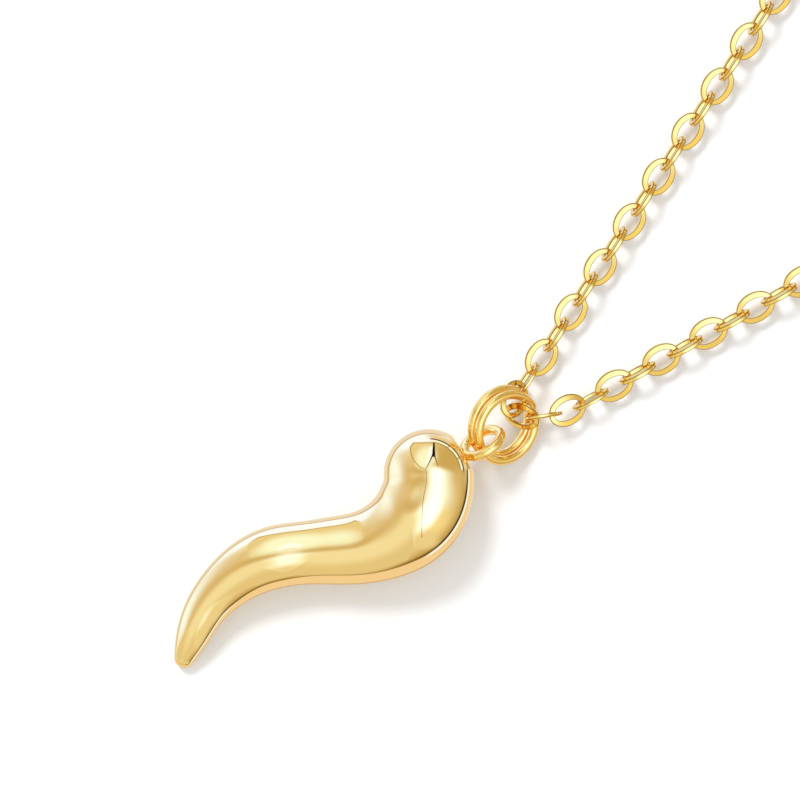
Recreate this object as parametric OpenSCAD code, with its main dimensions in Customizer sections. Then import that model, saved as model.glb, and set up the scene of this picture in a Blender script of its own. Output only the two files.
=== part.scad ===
// A horn charm on a fine cable chain, lying on a flat surface.
// The horn hangs from a split ring by an eye soldered to its head, and the chain runs
// through the split ring in one closed loop, with its clasp at the far end.
// Millimetres. +Z is up, the surface is at z = 0, and +X runs from the horn to the clasp.

/* [Horn] */
// Length along the straight line from the tip to the top of the head
horn_l = 25; // [18:0.5:40]
// Thickness of the head
horn_d = 6.2; // [5:0.1:8]
// How far the curve swings off the straight line from tip to head
horn_sway = 2.8; // [0.5:0.1:4]
// Turn of the horn about its head, 0 when it lies in line with the necklace
horn_turn = -6; // [-20:1:10]
// Depth of the flat filed on the head for the eye
flat_in = 0.35; // [0.15:0.05:0.6]

/* [Eye] */
// Outside diameter of the eye
eye_d = 3.4; // [3.2:0.1:4.5]
// Thickness of the eye's wire
eye_wire = 0.7; // [0.5:0.05:0.8]
// Lean of the eye, 0 lying flat and 90 upright
eye_lean = 60; // [50:1:70]
// Direction that the eye points in, from the head
eye_turn = -13; // [-20:1:0]
// How deep the solder joint sinks the eye into the flat
eye_sink = 0.2; // [0.1:0.05:0.25]

/* [Split ring] */
// Outside diameter of the split ring
ring_d = 5.3; // [5:0.1:6.5]
// Thickness of the split ring's wire
ring_wire = 0.64; // [0.5:0.02:0.7]
// Gap between the two coils
coil_gap = 0.03; // [0.02:0.01:0.1]
// How far the upper coil has slipped sideways on the lower one
coil_slip = 0.18; // [0:0.02:0.3]
// Lean of the split ring, 0 lying flat
ring_lean = 40; // [36:1:44]
// How far the wires of ring and eye lie inside each other
ring_seat = 0.35; // [0.3:0.05:0.45]

/* [Chain] */
// Length of the closed necklace, with its clasp
necklace_l = 450; // [380:5:460]
// Distance from one link to the next
link_pitch = 1.82; // [1.76:0.02:1.9]
// Width of a link
link_w = 2.08; // [2:0.02:2.2]
// Width of a link's long sides
link_side = 0.43; // [0.38:0.01:0.44]
// Width of a link's ends
link_end = 0.34; // [0.3:0.01:0.35]
// Thickness of a link
link_t = 0.26; // [0.22:0.01:0.27]
// Clearance between two links that hold each other
link_gap = 0.2; // [0.19:0.01:0.21]
// Roll of the flat and the upright links off level and plumb
link_roll = 15; // [0:1:20]
// Angle between the two strands
strand_angle = 28; // [20:1:40]

/* [Clasp] */
// Outside diameter of the clasp's ring
clasp_d = 5.5; // [5:0.1:7]
// Thickness of the clasp's ring
clasp_wire = 0.8; // [0.6:0.05:0.8]
// Outside diameter of the clasp's small eye
clasp_eye_d = 2.2; // [2:0.1:2.8]
// Thickness of the small eye's wire
clasp_eye_wire = 0.5; // [0.4:0.05:0.6]
// Height of the clasp's thumb tab above its ring
tab_h = 0.45; // [0.2:0.05:0.8]

/* [Hidden] */

// Facets around the horn, along each stretch between its sections, and along its rounded ends
HORN_SIDES = 32;
HORN_STEPS = 3;
CAP_STEPS = 5;
// Facets around the split ring's wire, and degrees from one of its sections to the next
WIRE_SIDES = 10;
COIL_STEP = 8;

// Sections of the horn from the tip to the middle of the head.
// Columns: place along the line from tip to head as a share of horn_l,
// swing off that line as a share of horn_sway, thickness as a share of horn_d.
HORN = [
    [0.022, 0.08, 0.208],
    [0.082, 0.42, 0.364],
    [0.160, 0.77, 0.467],
    [0.240, 0.92, 0.560],
    [0.320, 0.91, 0.644],
    [0.390, 0.74, 0.686],
    [0.460, 0.40, 0.692],
    [0.530, 0.00, 0.745],
    [0.600, -0.36, 0.805],
    [0.670, -0.55, 0.893],
    [0.740, -0.56, 0.980],
    [0.800, -0.37, 1.00],
    [0.856, 0.11, 0.984],
];
// Depth of the rounded tip as a share of its radius
TIP_DEPTH = 0.8;

// The four links between the strands: one passes under the split ring's high side, one lies
// over its low side, and two come down from there to the lower strand.
// Columns: x, y and height of the middle, off the middle of the split ring on the surface,
// then the direction, the rise of the far end and the roll.
ROUTE = [
    [1.70, 0.80, 1.38, 23, -20, 29],
    [1.31, -0.40, 1.70, -51, 30, 35],
    [2.40, -1.41, 1.98, -34, -30, 90],
    [3.83, -2.22, 1.36, -14, -15, 13],
];
// The last of them that belongs to the upper strand
LAST_UPPER = 1;

// Where the lines of the two strands meet, off the middle of the split ring
APEX = [-3.4, -0.5];
// Distance from there to the first link of the upper and of the lower strand
UPPER_START = 6.83;
LOWER_START = 9.19;

// Split ring
coil_r = (ring_d - ring_wire) / 2;
coil_step = ring_wire + coil_gap;
ring_z = coil_r * sin(ring_lean) + coil_step / 2 * cos(ring_lean) + ring_wire / 2;
// Direction in which the ring leans down
ring_turn = -69;
// Angles from the ring's low point: where its wire starts on the lower coil, where it
// crosses to the upper coil and where it ends, the way that the upper coil has slipped,
// and the place of the eye
wire_start = 86;
cross_from = 34;
cross_to = 60;
wire_end = 34;
slip_at = -41;
eye_at = -120;

// Horn and eye
head_r = horn_d * HORN[len(HORN) - 1][2] / 2;
eye_r = (eye_d - eye_wire) / 2;
head_to_eye = head_r - flat_in + eye_d / 2 - eye_sink;
eye_pos = ring_point(eye_at, coil_r - ring_seat, 0);
head_xy = [eye_pos[0], eye_pos[1]] - head_to_eye * heading(eye_turn);
tip_xy = head_xy - turned(horn_xy(len(HORN) - 1), horn_turn);

// Links
hole_w = link_w - 2 * link_side;
hole_l = (link_pitch + link_gap) / sqrt(1 - pow(link_t / hole_w, 2));
link_l = hole_l + 2 * link_end;
link_z = norm([link_w, link_t]) / 2;

// Clasp
clasp_r = (clasp_d - clasp_wire) / 2;
clasp_eye_r = (clasp_eye_d - clasp_eye_wire) / 2;
clasp_eye_x = clasp_r + clasp_eye_r + (clasp_wire + clasp_eye_wire) / 4;
clasp_span = reach(clasp_wire) + clasp_r + clasp_eye_x + clasp_eye_r + reach(clasp_eye_wire);

// Loop of the chain: two straight strands and the round far end that they run into
strand_n = 2 * floor(((necklace_l - clasp_span) / link_pitch - len(ROUTE)) / 4) + 1;
strand_l = (strand_n - 1) * link_pitch;
loop_l = UPPER_START + LOWER_START + 2 * strand_l + clasp_span;
half_angle = strand_angle / 2;
arc_angle = 180 + strand_angle;
straight_l = loop_l / (2 + tan(half_angle) * arc_angle * PI / 180);
arc_r = straight_l * tan(half_angle);
arc_x = APEX[0] + straight_l / cos(half_angle);

// Ends of the whole thing, which set the middle of its length
near_x = tip_xy[0];
far_x = arc_x + arc_r + clasp_d / 2;
shift = [-(near_x + far_x) / 2, -APEX[1], 0];

// Directions and turns on the surface
function heading(a) = [cos(a), sin(a)];
function turned(p, a) = [p[0] * cos(a) - p[1] * sin(a), p[0] * sin(a) + p[1] * cos(a)];

// Point of the leaning split ring: angle from its low point, radius, height off its own plane
function ring_point(a, r, h) =
    let (down = [r * cos(a) * cos(ring_lean) + h * sin(ring_lean), r * sin(a)])
    let (flat = turned(down, ring_turn))
    [flat[0], flat[1], ring_z - r * cos(a) * sin(ring_lean) + h * cos(ring_lean)];

// A section of the horn: its middle on the surface, and its radius
function horn_xy(i) = [HORN[i][0] * horn_l, HORN[i][1] * horn_sway];
function section(i) =
    i < 0 ? 2 * section(0) - section(1)
    : i >= len(HORN) ? 2 * section(len(HORN) - 1) - section(len(HORN) - 2)
    : [horn_xy(i)[0], horn_xy(i)[1], HORN[i][2] * horn_d / 2];

// Smooth curve through four sections, from the second to the third as t goes from 0 to 1
function smooth(a, b, c, d, t) =
    (2 * b + (c - a) * t + (2 * a - 5 * b + 4 * c - d) * t * t
        + (3 * b - a - 3 * c + d) * t * t * t) / 2;
function horn_at(i, t) = smooth(section(i - 1), section(i), section(i + 1), section(i + 2), t);
function way(a, b) = atan2(b[1] - a[1], b[0] - a[0]);

// A round section of the horn: its middle, the direction of the horn there and the radius
function hoop(x, y, z, dir, r) = [
    for (k = [0:HORN_SIDES - 1])
        let (a = 360 * k / HORN_SIDES - 90)
        [x - r * cos(a) * sin(dir), y + r * cos(a) * cos(dir), z + r * sin(a)]
];

// Faces of a skin over equal loops of points, closed by a point at each end or by flat ends
function tube_faces(rings, sides) = [
    for (i = [0:rings - 2])
        for (k = [0:sides - 1])
            for (f = [0, 1])
                let (n = (k + 1) % sides, a = i * sides, b = a + sides)
                f == 0 ? [a + k, b + k, b + n] : [a + k, b + n, a + n]
];
function fan(first, sides, pole, outward) = [
    for (k = [0:sides - 1])
        let (n = (k + 1) % sides)
        outward ? [first + k, pole, first + n] : [first + n, pole, first + k]
];

// How far off the middle of a link's hole a round wire can lie with its clearance
function reach(wire) =
    let (need = wire / 2 + link_gap)
    sqrt((pow(hole_l, 2) - pow(hole_w, 2)) * max(0, pow(hole_w, 2) / 4 - need * need)) / hole_w;

// A place on the loop at a distance from the apex: x, y, direction and roll
function on_loop(s) =
    s < straight_l ? concat(APEX + s * heading(half_angle), [half_angle, link_roll])
    : s > loop_l - straight_l
    ? concat(APEX + (loop_l - s) * heading(-half_angle), [180 - half_angle, -link_roll])
    : let (turn = (s - straight_l) / arc_r * 180 / PI)
        concat([arc_x, APEX[1]] + arc_r * heading(90 + half_angle - turn),
            [half_angle - turn, link_roll * (1 - 2 * turn / arc_angle)]);

module link() {
    linear_extrude(link_t, center = true)
    difference() {
        scale([link_l / link_w, 1]) circle(d = link_w, $fn = 24);
        scale([hole_l / hole_w, 1]) circle(d = hole_w, $fn = 24);
    }
}

module link_at(p, upright) {
    translate([p[0], p[1], link_z])
    rotate([p[3] + (upright ? 90 : 0), 0, p[2]])
    link();
}

module wire_ring(r, wire) {
    rotate_extrude($fn = 48)
    translate([r, 0])
    circle(d = wire, $fn = 24);
}

module horn_body() {
    last = len(HORN) - 1;
    tip = section(0);
    head = section(last);
    tip_dir = way(horn_at(0, 0), horn_at(0, 0.1));
    head_dir = way(horn_at(last - 1, 0.9), horn_at(last - 1, 1));
    tip_loops = [
        for (k = [1:CAP_STEPS - 1])
            let (a = 90 - 90 * k / CAP_STEPS, back = TIP_DEPTH * tip[2] * sin(a))
            hoop(tip[0] - back * cos(tip_dir), tip[1] - back * sin(tip_dir), tip[2], tip_dir,
                tip[2] * cos(a))
    ];
    body_loops = [
        for (i = [0:last - 1])
            for (j = [0:HORN_STEPS - 1])
                let (t = j / HORN_STEPS, p = horn_at(i, t), q = horn_at(i, t + 0.05))
                hoop(p[0], p[1], p[2], way(p, q), p[2])
    ];
    head_loops = [
        for (k = [0:CAP_STEPS * 2 - 1])
            let (a = 45 * k / CAP_STEPS, out = head[2] * sin(a))
            hoop(head[0] + out * cos(head_dir), head[1] + out * sin(head_dir), head[2], head_dir,
                head[2] * cos(a))
    ];
    loops = concat(tip_loops, body_loops, head_loops);
    tip_end = [tip[0] - TIP_DEPTH * tip[2] * cos(tip_dir),
        tip[1] - TIP_DEPTH * tip[2] * sin(tip_dir), tip[2]];
    head_end = [head[0] + head[2] * cos(head_dir), head[1] + head[2] * sin(head_dir), head[2]];
    count = len(loops) * HORN_SIDES;
    polyhedron(
        points = concat([for (l = loops) each l], [tip_end, head_end]),
        faces = concat(
            tube_faces(len(loops), HORN_SIDES),
            fan(0, HORN_SIDES, count, false),
            fan(count - HORN_SIDES, HORN_SIDES, count + 1, true)
        )
    );
}

module horn() {
    color("gold")
    translate(shift) {
        difference() {
            translate([tip_xy[0], tip_xy[1], 0])
            rotate(horn_turn)
            horn_body();
            translate([head_xy[0], head_xy[1], 0])
            rotate(eye_turn)
            translate([head_r - flat_in, -horn_d, -1])
            cube([horn_d, 2 * horn_d, 2 * horn_d]);
        }
        translate(eye_pos)
        rotate([-eye_lean, 0, eye_turn])
        wire_ring(eye_r, eye_wire);
    }
}

module split_ring() {
    turn = wire_end + 720 - wire_start;
    steps = round(turn / COIL_STEP);
    points = [
        for (i = [0:steps])
            let (a = wire_start + turn * i / steps)
            let (t = min(1, max(0, (a - 360 - cross_from) / (cross_to - cross_from))))
            let (up = t * t * (3 - 2 * t) - 0.5)
            for (k = [0:WIRE_SIDES - 1])
                let (b = 360 * k / WIRE_SIDES)
                let (r = coil_r + ring_wire / 2 * cos(b))
                let (side = coil_slip * up)
                ring_point_slipped(a, r, coil_step * up - ring_wire / 2 * sin(b), side)
    ];
    count = len(points);
    color("gold")
    translate(shift)
    polyhedron(
        points = points,
        faces = concat(
            tube_faces(steps + 1, WIRE_SIDES),
            [[for (k = [0:WIRE_SIDES - 1]) k]],
            [[for (k = [1:WIRE_SIDES]) count - k]]
        )
    );
}

// A point of the split ring whose coil has slipped by a distance in the ring's own plane
function ring_point_slipped(a, r, h, side) =
    ring_point(a, r, h) + ring_point(slip_at, side, 0) - ring_point(0, 0, 0);

module route_links(first, last) {
    for (i = [first:last])
        let (p = ROUTE[i])
        translate([p[0], p[1], p[2]])
        rotate([p[5], -p[4], p[3]])
        link();
}

module chain_upper() {
    color("khaki")
    translate(shift) {
        for (j = [0:strand_n - 1])
            link_at(on_loop(UPPER_START + j * link_pitch), j % 2 == 0);
        route_links(0, LAST_UPPER);
    }
}

module chain_lower() {
    color("khaki")
    translate(shift) {
        for (j = [0:strand_n - 1])
            link_at(on_loop(loop_l - LOWER_START - j * link_pitch), j % 2 == 0);
        route_links(LAST_UPPER + 1, len(ROUTE) - 1);
    }
}

module clasp() {
    from = on_loop(UPPER_START + strand_l);
    to = on_loop(loop_l - LOWER_START - strand_l);
    dir = way(from, to);
    ring_xy = [from[0], from[1]] + (reach(clasp_wire) + clasp_r) * heading(dir);
    color("goldenrod")
    translate(shift)
    translate([ring_xy[0], ring_xy[1], link_z])
    rotate(dir) {
        wire_ring(clasp_r, clasp_wire);
        translate([clasp_eye_x, 0, 0])
        wire_ring(clasp_eye_r, clasp_eye_wire);
        translate([0, clasp_r, 0])
        cylinder(d = clasp_wire * 0.6, h = clasp_wire / 2 + tab_h, $fn = 24);
    }
}

horn();
split_ring();
chain_upper();
chain_lower();
clasp();
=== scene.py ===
"""Visual model of a horn charm on a fine cable chain, lying on a pale surface.

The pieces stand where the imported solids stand. Lengths are in millimetres until a mesh is
made, and in metres from there on.
"""

import logging
import math
from dataclasses import dataclass
from enum import Enum
from typing import Sequence

import bpy
import numpy as np
from bpy.types import Material, Node, NodeSocket, NodeTree, Object
from mathutils import Matrix, Vector

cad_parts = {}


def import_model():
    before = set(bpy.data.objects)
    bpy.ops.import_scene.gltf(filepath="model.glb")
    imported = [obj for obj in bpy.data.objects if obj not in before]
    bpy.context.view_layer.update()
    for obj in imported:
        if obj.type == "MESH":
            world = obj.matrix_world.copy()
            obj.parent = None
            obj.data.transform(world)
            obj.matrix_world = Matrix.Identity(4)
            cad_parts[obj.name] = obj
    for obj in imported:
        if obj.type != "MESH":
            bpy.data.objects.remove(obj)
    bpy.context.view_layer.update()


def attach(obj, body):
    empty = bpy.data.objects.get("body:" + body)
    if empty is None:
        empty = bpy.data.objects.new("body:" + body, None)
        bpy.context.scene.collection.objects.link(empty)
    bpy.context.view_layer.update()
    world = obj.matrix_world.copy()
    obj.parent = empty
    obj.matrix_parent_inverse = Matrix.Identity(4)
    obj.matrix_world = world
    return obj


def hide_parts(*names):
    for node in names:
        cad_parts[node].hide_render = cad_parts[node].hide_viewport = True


LOG = logging.getLogger("charm")
MM = 0.001
ROOT = "root"
# Point attribute holding the share of painted shade along the links' edges
EDGE_SHADE_MARK = "painted_edge_shade_share"
Colour = tuple[float, float, float]
Point = tuple[float, float]
Light = tuple[float, float, float, float]
Face = tuple[int, ...]
Skin = tuple[np.ndarray, list[Face]]

# The part's own origin in the row frame: the middle of the split ring on the surface
SHIFT = np.array([-85.8215, 0.5, 0.0])
# Direction of the row's +X in the picture, in degrees up from its right
PICTURE_TURN = 43.05
# Middle of the split ring in the picture, and pixels to a millimetre there
RING_PIXEL = (503.6, 425.0)
PIXELS_PER_MM = 14.8
PICTURE_SIDE = 800


class Slot(Enum):
    """Material slots of the record."""

    HORN = "polished_gold"
    RING = "ring_gold"
    CHAIN = "chain_gold"
    CLASP = "clasp_gold"


class Side(Enum):
    """The two strands of the necklace."""

    UPPER = "chain_upper"
    LOWER = "chain_lower"


# ---------------------------------------------------------------- small helpers


def linear(colour: Colour) -> Colour:
    """Turns a colour of 0 to 255 as seen into linear light.

    Args:
        colour: Red, green and blue from 0 to 255.

    Returns:
        The three linear values.
    """
    out = []
    for value in colour:
        v = value / 255.0
        out.append(v / 12.92 if v <= 0.04045 else ((v + 0.055) / 1.055) ** 2.4)
    return (out[0], out[1], out[2])


def rotation(x: float = 0.0, y: float = 0.0, z: float = 0.0) -> np.ndarray:
    """Makes the matrix that turns about X, then Y, then Z.

    Args:
        x: Turn about X in degrees.
        y: Turn about Y in degrees.
        z: Turn about Z in degrees.

    Returns:
        A 3 by 3 matrix.
    """
    turn = Matrix.Identity(3)
    for angle, axis in ((x, "X"), (y, "Y"), (z, "Z")):
        turn = Matrix.Rotation(math.radians(angle), 3, axis) @ turn
    return np.array(turn)


def heading(angle: float) -> np.ndarray:
    """Returns the unit vector on the surface at an angle in degrees."""
    a = math.radians(angle)
    return np.array([math.cos(a), math.sin(a)])


def smooth_curve(
    at: np.ndarray, rows: np.ndarray, level_end: bool = False
) -> "SmoothCurve":
    """Fits a smooth curve through rows.

    Args:
        at: Place of each row along the curve.
        rows: One row of values for each place.
        level_end: True if the curve ends level.

    Returns:
        The curve.
    """
    n = len(at)
    step = np.diff(at)
    left = np.zeros((n, n))
    right = np.zeros((n, rows.shape[1]))
    for i in range(1, n - 1):
        left[i, i - 1 : i + 2] = (step[i - 1], 2 * (step[i - 1] + step[i]), step[i])
        right[i] = 6 * (
            (rows[i + 1] - rows[i]) / step[i] - (rows[i] - rows[i - 1]) / step[i - 1]
        )
    left[0, :2] = (1, -1)
    if level_end:
        left[-1, -2:] = (step[-1], 2 * step[-1])
        right[-1] = -6 * (rows[-1] - rows[-2]) / step[-1]
    else:
        left[-1, -2:] = (-1, 1)
    return SmoothCurve(at, rows, np.linalg.solve(left, right))


@dataclass(frozen=True)
class SmoothCurve:
    """A curve of cubic stretches whose bend runs on without a jump."""

    at: np.ndarray
    rows: np.ndarray
    bend: np.ndarray

    def value(self, q: np.ndarray) -> np.ndarray:
        """Evaluates the curve.

        Args:
            q: Places along the curve.

        Returns:
            One row of values for each place.
        """
        i = np.clip(np.searchsorted(self.at, q) - 1, 0, len(self.at) - 2)
        step = (self.at[i + 1] - self.at[i])[:, None]
        d = (q - self.at[i])[:, None]
        lo, hi = self.bend[i], self.bend[i + 1]
        slope = (self.rows[i + 1] - self.rows[i]) / step - step * (2 * lo + hi) / 6
        return self.rows[i] + d * slope + d**2 * lo / 2 + d**3 * (hi - lo) / (6 * step)


def skin(loops: np.ndarray, closed: bool, caps: bool) -> list[Face]:
    """Lists the faces of a skin over loops of points.

    Args:
        loops: Points in an array of loops by sides by 3.
        closed: True if the last loop joins the first.
        caps: True if each end is closed by one flat face.

    Returns:
        The faces, outward when the loops run anticlockwise seen from the far end.
    """
    rings, sides = loops.shape[:2]
    faces: list[Face] = []
    for i in range(rings if closed else rings - 1):
        a, b = i * sides, ((i + 1) % rings) * sides
        for k in range(sides):
            n = (k + 1) % sides
            faces.append((a + k, a + n, b + n, b + k))
    if caps:
        faces.append(tuple(reversed(range(sides))))
        last = (rings - 1) * sides
        faces.append(tuple(last + k for k in range(sides)))
    return faces


def torus(radius: float, wire: float, around: int, sides: int) -> np.ndarray:
    """Makes the points of a round ring about Z.

    Args:
        radius: Radius of the middle of its wire.
        wire: Radius of the wire.
        around: Number of loops around the ring.
        sides: Number of points to a loop.

    Returns:
        The points in an array of loops by sides by 3.
    """
    a = 2 * math.pi * np.arange(around)[:, None] / around
    b = 2 * math.pi * np.arange(sides)[None, :] / sides
    r = radius + wire * np.cos(b)
    return np.stack([r * np.cos(a), r * np.sin(a), wire * np.sin(b) + 0 * a], axis=-1)


def joined(parts: Sequence[Skin]) -> Skin:
    """Joins skins into one.

    Args:
        parts: Points and faces of each skin.

    Returns:
        All points and all faces.
    """
    faces: list[Face] = []
    shift = 0
    for points, own in parts:
        faces += [tuple(i + shift for i in face) for face in own]
        shift += len(points)
    return np.vstack([points for points, _ in parts]), faces


def new_object(name: str, points: Sequence, faces: Sequence[Face]) -> Object:
    """Makes an object and puts it in the scene.

    Args:
        name: Name of the object and of its mesh.
        points: Its points in metres.
        faces: Its faces.

    Returns:
        The object.
    """
    mesh = bpy.data.meshes.new(name)
    mesh.from_pydata(points, [], faces)
    made = bpy.data.objects.new(name, mesh)
    bpy.context.scene.collection.objects.link(made)
    return made


def make_piece(
    name: str, points: np.ndarray, faces: Sequence[Face], slot: Slot
) -> Object:
    """Makes a smooth piece that rides on the part.

    Args:
        name: Name of the piece.
        points: Its points in millimetres, in the row frame.
        faces: Its faces.
        slot: Material slot of the piece; not used.

    Returns:
        The new object.
    """
    piece = new_object(name, (points * MM).tolist(), faces)
    piece.data.polygons.foreach_set("use_smooth", [True] * len(piece.data.polygons))
    piece.data.update()
    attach(piece, ROOT)
    return piece


def mark_painted_edge_shade(piece: Object, edge: np.ndarray) -> None:
    """Stores how near each point lies to an edge, which sets the painted shade there.

    Args:
        piece: The piece.
        edge: 1 on an edge and 0 elsewhere, for each point.
    """
    mark = piece.data.attributes.new(EDGE_SHADE_MARK, "FLOAT", "POINT")
    mark.data.foreach_set("value", edge.astype(np.float32))


def report(piece: Object) -> None:
    """Reports a finished piece with its number of faces."""
    LOG.info("%s: %d faces", piece.name, len(piece.data.polygons))


# ---------------------------------------------------------------- shader nodes


class Nodes:
    """Shader nodes under construction in one tree."""

    def __init__(self, tree: NodeTree) -> None:
        """Takes over a tree and clears it.

        Args:
            tree: The tree.
        """
        self.tree = tree
        tree.nodes.clear()

    def fill(self, node: Node, inputs: dict[str | int, object]) -> None:
        """Sets or links the inputs of a node.

        Args:
            node: The node.
            inputs: A number, a colour or another node's output for each input.
        """
        for key, value in inputs.items():
            if isinstance(value, NodeSocket):
                self.tree.links.new(value, node.inputs[key])
            else:
                node.inputs[key].default_value = value

    def node(
        self, kind: str, inputs: dict[str | int, object] | None = None, **settings: object
    ) -> Node:
        """Adds a shader node.

        Args:
            kind: Type of the node, such as Math.
            inputs: A number, a colour or another node's output for each input.
            **settings: Attributes to set on it.

        Returns:
            The node.
        """
        new = self.tree.nodes.new("ShaderNode" + kind)
        for key, value in settings.items():
            setattr(new, key, value)
        self.fill(new, inputs or {})
        return new

    def mix_colour(self, share: object, low: object, high: object) -> NodeSocket:
        """Mixes two colours by the share of the second."""
        return self.node("Mix", {0: share, 6: low, 7: high}, data_type="RGBA").outputs[2]

    def mix_shader(self, share: object, low: object, high: object) -> NodeSocket:
        """Mixes two shaders by the share of the second."""
        return self.node("MixShader", {0: share, 1: low, 2: high}).outputs[0]


class Group(Nodes):
    """A shader node group under construction."""

    def __init__(
        self, name: str, inputs: dict[str, object], outputs: dict[str, str]
    ) -> None:
        """Starts a group with its named ends.

        Args:
            name: Name of the group.
            inputs: Number or colour that each input has when nothing is set.
            outputs: Color or Float for each output.
        """
        super().__init__(bpy.data.node_groups.new(name, "ShaderNodeTree"))
        self.end = self.tree.nodes.new("NodeGroupOutput")
        ends = self.tree.interface
        for key, value in inputs.items():
            kind = "NodeSocketFloat" if isinstance(value, float) else "NodeSocketColor"
            ends.new_socket(key, in_out="INPUT", socket_type=kind).default_value = value
        for key, kind in outputs.items():
            ends.new_socket(key, in_out="OUTPUT", socket_type="NodeSocket" + kind)
        self.given = self.tree.nodes.new("NodeGroupInput").outputs


def new_material(name: str) -> tuple[Material, Nodes]:
    """Makes a material with no nodes yet.

    Args:
        name: Its name.

    Returns:
        The material and its nodes.
    """
    made = bpy.data.materials.new(name)
    made.use_nodes = True
    return made, Nodes(made.node_tree)


def soft_variation() -> NodeTree:
    """Builds the group for a slow drift of tone over polished metal.

    Returns:
        A group that puts out a colour between two tones.
    """
    group = Group(
        "tone_drift",
        {"Deep": (0.8, 0.5, 0.2, 1), "Pale": (0.9, 0.6, 0.3, 1), "Scale": 200.0},
        {"Color": "Color"},
    )
    given = group.given
    place = group.node("TexCoord").outputs["Object"]
    cloud = group.node(
        "TexNoise", {"Vector": place, "Scale": given["Scale"], "Detail": 3.0},
        noise_dimensions="3D",
    )
    mixed = group.mix_colour(cloud.outputs["Fac"], given["Deep"], given["Pale"])
    group.fill(group.end, {"Color": mixed})
    return group.tree


def handling_marks() -> NodeTree:
    """Builds the group for the fine marks that wear leaves on polished metal.

    Returns:
        A group that puts out a roughness and the height of the marks.
    """
    group = Group(
        "handling_marks",
        {"Smooth": 0.03, "Worn": 0.08, "Scale": 900.0},
        {"Roughness": "Float", "Height": "Float"},
    )
    given = group.given
    place = group.node("TexCoord").outputs["Object"]
    stretch = group.node(
        "Mapping",
        {"Vector": place, "Scale": (1.0, 0.16, 1.0), "Rotation": (0.2, 0.3, 0.6)},
    )
    hair = group.node(
        "TexNoise",
        {"Vector": stretch.outputs["Vector"], "Scale": given["Scale"], "Detail": 5.0},
        noise_dimensions="3D",
    )
    blur = group.node(
        "TexNoise", {"Vector": place, "Scale": 120.0}, noise_dimensions="3D"
    )
    limit = group.node(
        "MapRange", {"Value": blur.outputs["Fac"], "From Min": 0.45, "From Max": 0.75}
    )
    spread = group.node(
        "Mix", {0: limit.outputs["Result"], 2: given["Smooth"], 3: given["Worn"]},
        data_type="FLOAT",
    )
    group.fill(group.end, {"Roughness": spread.outputs[0], "Height": hair.outputs["Fac"]})
    return group.tree


def painted_edge_shade() -> NodeTree:
    """Builds the group for painted shade along the edges: a dark line standing in for the
    dark things that the edges mirror.

    Returns:
        A group that puts out a colour, darker on the edges by the painted shade.
    """
    group = Group(
        "painted_edge_shade",
        {"Color": (0.9, 0.6, 0.3, 1), "Edge": (0.4, 0.2, 0.05, 1), "Amount": 0.0},
        {"Color": "Color"},
    )
    given = group.given
    mark = group.node("Attribute", attribute_name=EDGE_SHADE_MARK).outputs["Fac"]
    # Painted shade: the base colour moves towards the dark edge colour where the mark is
    # set
    share = group.node("Math", {0: mark, 1: given["Amount"]}, operation="MULTIPLY")
    mixed = group.mix_colour(share.outputs[0], given["Color"], given["Edge"])
    group.fill(group.end, {"Color": mixed})
    return group.tree


@dataclass(frozen=True)
class GoldFinish:
    """Polished gold, with its two tones, its wear, the depth of its marks and painted shade
    along its edges.
    """

    name: str
    deep: Colour
    pale: Colour
    tone_scale: float
    smooth: float
    worn: float
    mark_scale: float
    mark_depth: float
    # Colour and share of the painted shade along the edges
    edge: Colour = (0.2, 0.07, 0.01)
    edge_shade_amount: float = 0.0

    def material(self, tones: NodeTree, marks: NodeTree, edges: NodeTree) -> Material:
        """Builds the material.

        Args:
            tones: Group for the drift of tone.
            marks: Group for the handling marks.
            edges: Group for the painted shade along the edges.

        Returns:
            The material.
        """
        made, nodes = new_material(self.name)
        deep, pale = (*self.deep, 1.0), (*self.pale, 1.0)
        tone = nodes.node(
            "Group",
            {"Deep": deep, "Pale": pale, "Scale": self.tone_scale},
            node_tree=tones,
        )
        wear = nodes.node(
            "Group",
            {"Smooth": self.smooth, "Worn": self.worn, "Scale": self.mark_scale},
            node_tree=marks,
        )
        colour = tone.outputs["Color"]
        # Painted shade darkens the colour along the marked edges
        if self.edge_shade_amount > 0:
            cut = nodes.node(
                "Group",
                {"Color": colour, "Edge": (*self.edge, 1.0), "Amount": self.edge_shade_amount},
                node_tree=edges,
            )
            colour = cut.outputs["Color"]
        height = wear.outputs["Height"]
        bump = nodes.node(
            "Bump", {"Height": height, "Strength": 1.0, "Distance": self.mark_depth}
        )
        gold = nodes.node(
            "BsdfPrincipled",
            {"Base Color": colour, "Roughness": wear.outputs["Roughness"],
             "Normal": bump.outputs["Normal"], "Metallic": 1.0},
        )
        nodes.node("OutputMaterial", {"Surface": gold.outputs["BSDF"]})
        return made


# Share of each colour of light that the gold gives back
GOLD_TINT: Colour = (1.0, 0.74, 0.38)


def light_for(shows: Colour, gain: float = 1.0, bare: float = 0.0) -> Light:
    """Works out the light that makes the gold show a colour.

    Args:
        shows: The colour, from 0 to 255.
        gain: Times brighter than that.
        bare: Share of the light that the gold gives back untinted at a slant.

    Returns:
        Its linear colour, with a fourth value of 1.
    """
    r, g, b = (v * gain / (t + (1 - t) * bare) for v, t in zip(linear(shows), GOLD_TINT))
    return (r, g, b, 1.0)


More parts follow.
